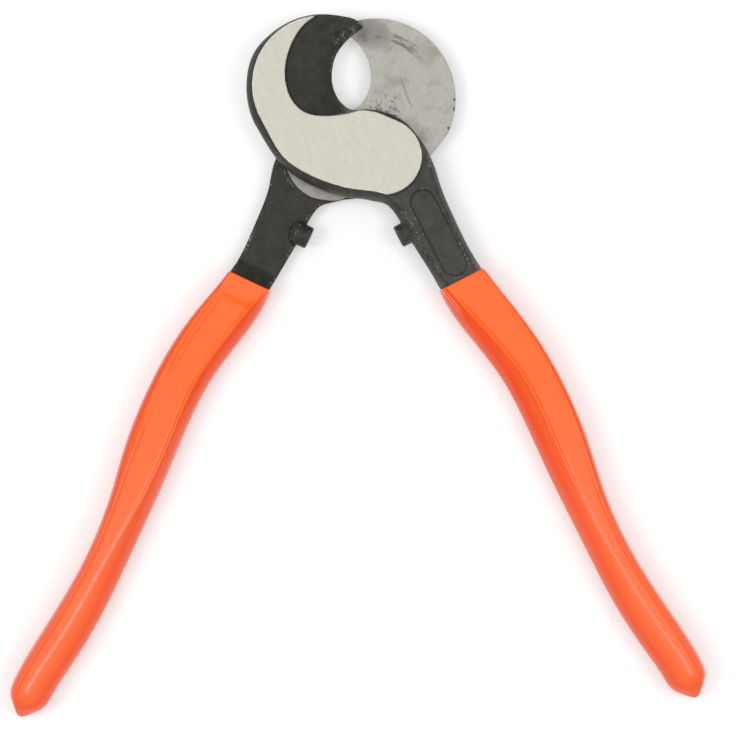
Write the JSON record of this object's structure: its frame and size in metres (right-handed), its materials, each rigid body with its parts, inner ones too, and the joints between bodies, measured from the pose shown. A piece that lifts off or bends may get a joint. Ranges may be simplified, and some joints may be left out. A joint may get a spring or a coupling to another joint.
{
  "type": "cable cutter",
  "caption": "Hand cable cutter: forged levers with hooked shear blades cross on a flush pivot rivet, each with a dipped vinyl grip.",
  "frame": {"origin": "on the pivot axis, at the ground back face that the tool lies on", "axes": "+Z along the pivot axis towards the front lever, +Y from the pivot towards the jaws, +X towards the front lever's handle"},
  "size_m": [0.2213, 0.2226, 0.0133],
  "materials": {
    "lever_steel": "black oxide forging with ground bright faces",
    "rivet_steel": "ground flush",
    "grip_vinyl": "glossy dipped vinyl"
  },
  "bodies": {
    "rear_half": {"rear_lever": "lever_steel", "rear_grip": "grip_vinyl", "pivot_rivet": "rivet_steel"},
    "front_half": {"front_lever": "lever_steel", "front_grip": "grip_vinyl"}
  },
  "joints": [
    {"name": "pivot", "type": "hinge", "parent": "rear_half", "child": "front_half", "pos_m": [0, 0, 0], "axis": [0, 0, 1], "range_deg": [-52.4, 40]}
  ]
}
